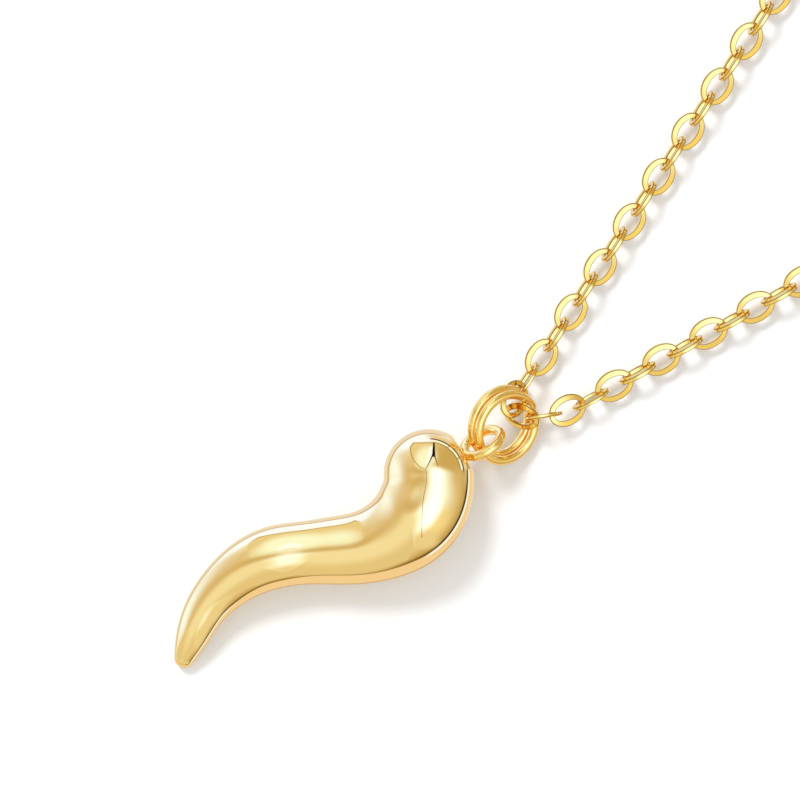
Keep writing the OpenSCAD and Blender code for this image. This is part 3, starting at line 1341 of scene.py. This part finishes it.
# Panels from the back to the front, as the horn shows them
PANELS = (
    # Gold field at the right, darker towards the horizon
    Panel(Shape.OVAL, (206, 166, 86), middle=(0.5, 0.34), size=(0.4, 0.36), soft=0.55),
    Panel(Shape.BAND, (196, 155, 74), middle=(0.08, 0.03), size=(0.66, 1.2), soft=0.12,
          toward=(0.82, -0.57, 0.3, 0.6)),
    Panel(Shape.BAND, (122, 86, 26), middle=(0.08, 0.03), size=(0.75, 1.2), soft=0.03,
          toward=(0.82, -0.57, 0.4, 0.6)),
    # Broad white panel at the upper left, and the cream light below it
    Panel(Shape.BAND, (243, 224, 178), size=(0.6, 1.2), soft=0.14,
          toward=(-0.9, 0.44, 0.3, 0.6)),
    Panel(Shape.OVAL, (255, 250, 220), middle=(-0.74, 0.14), size=(0.26, 0.24), soft=0.6),
    Panel(Shape.BAND, (255, 254, 242), size=(0.715, 1.2), soft=0.03,
          toward=(-0.25, 0.97, 0.5, 0.72)),
    Panel(Shape.OVAL, (221, 184, 112), middle=(-0.42, 0.0), size=(0.14, 0.36), turn=20,
          soft=0.9),
    # Gold left of the long crease
    Panel(Shape.OVAL, (249, 230, 164), middle=(-0.1, -0.32), size=(0.22, 0.26), turn=-25,
          soft=0.5),
    # Cream panel overhead, with a deeper gold beside it
    Panel(Shape.OVAL, (251, 217, 132), middle=(0.34, -0.27), size=(0.19, 0.15), soft=0.8),
    Panel(Shape.OVAL, (238, 207, 132), middle=(0.24, -0.48), size=(0.24, 0.1), turn=-20,
          soft=0.5),
    Panel(Shape.OVAL, (255, 245, 198), middle=(0.29, -0.01), size=(0.24, 0.12), turn=-14,
          soft=0.7),
    Panel(Shape.OVAL, (255, 250, 220), middle=(0.12, -0.08), size=(0.24, 0.22), turn=-22,
          soft=0.42, gain=1.35),
    # Deeper gold whose right edge is the crease, with softer tones laid on it
    Panel(Shape.BLOCK, (230, 197, 122),
          corners=((-0.8, 0.06), (-0.1, 0.06), (-0.03, -0.04), (0.09, -0.53),
                   (0.18, -0.68), (-0.8, -0.68)), soft=0.007,
          toward=(0.2, -1.0, 0.0, 0.06)),
    Panel(Shape.OVAL, (246, 220, 150), middle=(-0.2, -0.2), size=(0.2, 0.22), turn=-25,
          soft=0.7),
    Panel(Shape.OVAL, (212, 172, 96), middle=(-0.19, 0.07), size=(0.2, 0.075), turn=-8,
          soft=0.8),
    # Cream window with its gold frame
    Panel(Shape.BLOCK, (200, 160, 82),
          corners=((-0.43, 0.5), (-0.42, 0.61), (-0.34, 0.705), (0.12, 0.705),
                   (0.11, 0.44), (-0.085, 0.105), (-0.28, 0.105)), soft=0.007,
          toward=(0.3, 0.95, 0.38, 0.56)),
    Panel(Shape.BLOCK, (236, 203, 128),
          corners=((-0.412, 0.5), (-0.402, 0.6), (-0.33, 0.682), (0.11, 0.682),
                   (0.1, 0.44), (-0.085, 0.115), (-0.262, 0.115)), soft=0.012,
          toward=(0.3, 0.95, 0.02, 0.12)),
    Panel(Shape.OVAL, (255, 249, 196), middle=(-0.06, 0.36), size=(0.21, 0.24), turn=-30,
          soft=0.5),
    Panel(Shape.BLOCK, (255, 254, 228),
          corners=((-0.03, 0.42), (0.02, 0.6), (0.095, 0.63), (0.095, 0.44),
                   (-0.05, 0.17), (-0.085, 0.22)), soft=0.02),
    # Dark gap beside the window
    Panel(Shape.BLOCK, (26, 16, 4),
          corners=((0.1, 0.7), (0.135, 0.7), (0.15, 0.4), (0.115, 0.37), (0.076, 0.425)),
          soft=0.008),
    # Light strip along the upper right between thin dark lines
    Panel(Shape.BAND, (236, 204, 142), size=(0.755, 0.88), soft=0.03,
          toward=(0.7, 0.71, 0.5, 0.68)),
    Panel(Shape.BAND, (150, 108, 34), size=(0.705, 0.73), soft=0.008,
          toward=(0.7, 0.71, 0.57, 0.6)),
    Panel(Shape.BAND, (255, 252, 205), size=(0.725, 0.765), soft=0.008,
          toward=(0.7, 0.71, 0.57, 0.6)),
    Panel(Shape.BAND, (92, 60, 14), size=(0.768, 0.795), soft=0.008,
          toward=(0.7, 0.71, 0.56, 0.6)),
    # Horizon: a dark line, then the light surface
    Panel(Shape.BAND, (246, 206, 140), middle=(0.08, 0.03), size=(0.79, 1.2), soft=0.012,
          toward=(0.5, -0.86, 0.4, 0.6)),
    Panel(Shape.BAND, (255, 246, 214), middle=(0.08, 0.03), size=(0.785, 0.835),
          soft=0.01, toward=(0.86, -0.5, 0.66, 0.74)),
    Panel(Shape.BAND, (36, 22, 4), middle=(0.08, 0.03), size=(0.762, 0.79), soft=0.01,
          toward=(0.82, -0.57, 0.6, 0.66)),
    Panel(Shape.BAND, (140, 104, 44), middle=(0.08, 0.03), size=(0.762, 0.785),
          soft=0.014, toward=(0.0, -1.0, 0.55, 0.7), strength=0.7),
    # Lit surface under the horn, seen along its rim
    Panel(Shape.BAND, (244, 207, 146), middle=(0.02, 0.03), size=(0.885, 1.3),
          soft=0.012),
    Panel(Shape.BAND, (240, 216, 174), size=(0.9, 1.3), soft=0.02,
          toward=(-0.6, 0.8, 0.2, 0.6)),
    Panel(Shape.BAND, (176, 136, 84), size=(0.888, 0.908), soft=0.01,
          toward=(-0.6, 0.8, 0.3, 0.6), strength=0.8),
    Panel(Shape.BAND, (206, 150, 70), size=(0.97, 1.3), soft=0.02,
          toward=(0.1, -0.99, 0.4, 0.8), strength=0.8),
)


@dataclass(frozen=True)
class Strip:
    """A thin dark strip in the air close to the head, which only the metal mirrors.

    Each row of the path has the strip's x, y and width on the head's chart.
    """

    shows: Colour
    path: tuple[tuple[float, float, float], ...]
    far: float = 10.0

    def rows(self, steps: int) -> np.ndarray:
        """Spreads rows evenly over the path.

        Args:
            steps: Number of steps between two rows of the path.

        Returns:
            One row for each step.
        """
        last = len(self.path) - 1
        at = np.linspace(0, last, steps * last + 1)
        columns = (np.interp(at, range(last + 1), column) for column in zip(*self.path))
        return np.column_stack(list(columns))


# Edges of the light tent beside the head: two tails of the dark gap, the long crease and
# the frame of the window
STRIPS = (
    Strip((40, 26, 8), ((0.098, 0.44, 0.034), (0.02, 0.27, 0.022), (-0.066, 0.11, 0.01))),
    Strip((96, 70, 28),
          ((0.128, 0.43, 0.026), (0.172, 0.28, 0.018), (0.22, 0.15, 0.006))),
    Strip((150, 112, 46),
          ((-0.066, 0.11, 0.013), (-0.045, 0.0, 0.011), (0.0, -0.15, 0.008),
           (0.04, -0.32, 0.006), (0.085, -0.5, 0.012))),
    Strip((178, 136, 64),
          ((-0.33, 0.685, 0.012), (-0.405, 0.6, 0.02), (-0.395, 0.47, 0.02),
           (-0.32, 0.29, 0.018), (-0.2, 0.16, 0.014), (-0.07, 0.105, 0.01)), far=5.0),
)


@dataclass
class Studio:
    """The pale surface, the light and the camera.

    The key light comes from an angle in the picture, up from its right, and a height
    above the surface, both in degrees.
    """

    base: Colour = (230.0, 196.0, 124.0)
    floor_half: float = 3.0
    floor_tone: float = 0.93
    glow: float = 0.88
    backdrop: float = 1.0
    key_power: float = 1.9
    key_from: tuple[float, float] = (124.0, 50.0)
    key_angle: float = 20.0
    strip_steps: int = 6
    camera_up: float = 1.5
    focus_height: float = 0.002
    clip: tuple[float, float] = (0.05, 50.0)

    def to_row(self, x: float, y: float) -> Vector:
        """Turns a direction in the picture into one on the surface.

        Args:
            x: Part to the picture's right.
            y: Part to its top.

        Returns:
            The direction in the row frame.
        """
        c, s = heading(PICTURE_TURN)
        return Vector((c * x + s * y, -s * x + c * y, 0.0))

    def build_floor(self) -> None:
        """Builds the surface, which the metal looks through to the light tent."""
        half = self.floor_half
        corners = [(-half, -half, 0), (half, -half, 0), (half, half, 0), (-half, half, 0)]
        floor = new_object("floor", corners, [(0, 1, 2, 3)])
        made, nodes = new_material("pale_surface")
        paper = nodes.node("BsdfDiffuse", {"Color": (self.floor_tone,) * 3 + (1.0,)})
        clear = nodes.node("BsdfTransparent")
        glossy = nodes.node("LightPath").outputs["Is Glossy Ray"]
        mixed = nodes.mix_shader(glossy, paper.outputs[0], clear.outputs[0])
        nodes.node("OutputMaterial", {"Surface": mixed})
        floor.data.materials.append(made)

    def build_strips(self, head: np.ndarray, radius: float) -> None:
        """Hangs the dark strips near the head, hidden from all but the polished metal.

        Args:
            head: Middle of the head in the row frame.
            radius: Its radius.
        """
        for number, strip in enumerate(STRIPS):
            rows = strip.rows(self.strip_steps)
            way = np.gradient(rows[:, :2], axis=0)
            way /= np.linalg.norm(way, axis=1, keepdims=True)
            across = np.column_stack([-way[:, 1], way[:, 0]]) * rows[:, 2:] / 2
            points = []
            sides = np.hstack([rows[:, :2] - across, rows[:, :2] + across])
            for x, y in sides.reshape(-1, 2):
                up = math.sqrt(1 - x * x - y * y)
                normal = np.array(self.to_row(x, y)) + (0, 0, up)
                mirrored = 2 * up * normal - (0, 0, 1)
                points.append((head + radius * normal + strip.far * mirrored) * MM)
            faces = [(i, i + 1, i + 3, i + 2) for i in range(0, len(points) - 2, 2)]
            card = new_object(f"strip_{number}", points, faces)
            dark, nodes = new_material(card.name)
            shine = nodes.node("Emission", {"Color": light_for(strip.shows)})
            nodes.node("OutputMaterial", {"Surface": shine.outputs[0]})
            card.data.materials.append(dark)
            card.visible_camera = card.visible_diffuse = card.visible_shadow = False

    def build_light(self) -> None:
        """Builds the light tent and the soft lamp that casts the shadow."""
        tent = StudioLight(self.base)
        for panel in PANELS:
            tent.add(panel)
        tent.finish(self.glow, self.backdrop)
        lamp_data = bpy.data.lights.new("key", "SUN")
        lamp_data.energy = self.key_power
        lamp_data.angle = math.radians(self.key_angle)
        lamp = bpy.data.objects.new("key", lamp_data)
        azimuth, height = (math.radians(v) for v in self.key_from)
        flat = self.to_row(math.cos(azimuth), math.sin(azimuth)) * math.cos(height)
        from_way = flat + Vector((0, 0, math.sin(height)))
        lamp.rotation_mode = "QUATERNION"
        lamp.rotation_quaternion = from_way.to_track_quat("Z", "Y")
        lamp.location = from_way
        lamp.visible_glossy = False
        bpy.context.scene.collection.objects.link(lamp)

    def build_camera(self) -> None:
        """Builds the camera that looks straight down, framed as the picture is."""
        middle = PICTURE_SIDE / 2
        dx = (middle - RING_PIXEL[0]) / PIXELS_PER_MM
        dy = (RING_PIXEL[1] - middle) / PIXELS_PER_MM
        target = self.to_row(dx, dy) * MM + Vector(SHIFT) * MM
        data = bpy.data.cameras.new("camera")
        wide = PICTURE_SIDE / PIXELS_PER_MM * MM
        data.lens = data.sensor_width * self.camera_up / wide
        data.clip_start, data.clip_end = self.clip
        camera = bpy.data.objects.new("camera", data)
        right, up = self.to_row(1, 0), self.to_row(0, 1)
        turn = Matrix((right, up, Vector((0, 0, 1)))).transposed()
        eye = target + Vector((0, 0, self.camera_up + self.focus_height))
        camera.matrix_world = Matrix.Translation(eye) @ turn.to_4x4()
        bpy.context.scene.collection.objects.link(camera)
        bpy.context.scene.camera = camera

    def build(self, head: np.ndarray, radius: float) -> None:
        """Builds the whole studio and sets plain colours for the picture.

        Args:
            head: Middle of the horn's head in the row frame.
            radius: Its radius.
        """
        self.build_camera()
        self.build_floor()
        self.build_strips(head, radius)
        self.build_light()
        bpy.context.scene.view_settings.view_transform = "Standard"


def main() -> None:
    """Builds the pieces in order."""
    logging.basicConfig(level=logging.INFO, format="%(name)s: %(message)s")
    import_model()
    ring = SplitRing()
    horn = Horn()
    head = np.array([*horn.head_place(ring), horn.head_radius]) + SHIFT
    Studio().build(head, horn.head_radius)
    groups = (soft_variation(), handling_marks(), painted_edge_shade())
    gold = {slot: finish.material(*groups) for slot, finish in FINISHES.items()}
    necklace = Necklace(Link())
    made = [
        (ring.build(), Slot.RING, "split_ring"),
        (horn.build_body(ring), Slot.HORN, "horn"),
        (horn.build_eye(ring), Slot.RING, "horn"),
        (necklace.build_strand(Side.UPPER), Slot.CHAIN, Side.UPPER.value),
        (necklace.build_strand(Side.LOWER), Slot.CHAIN, Side.LOWER.value),
        (necklace.build_clasp(), Slot.CLASP, "clasp"),
    ]
    for piece, slot, node in made:
        piece.data.materials.append(gold[slot])
        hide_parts(node)
        report(piece)


if __name__ == "__main__":
    main()
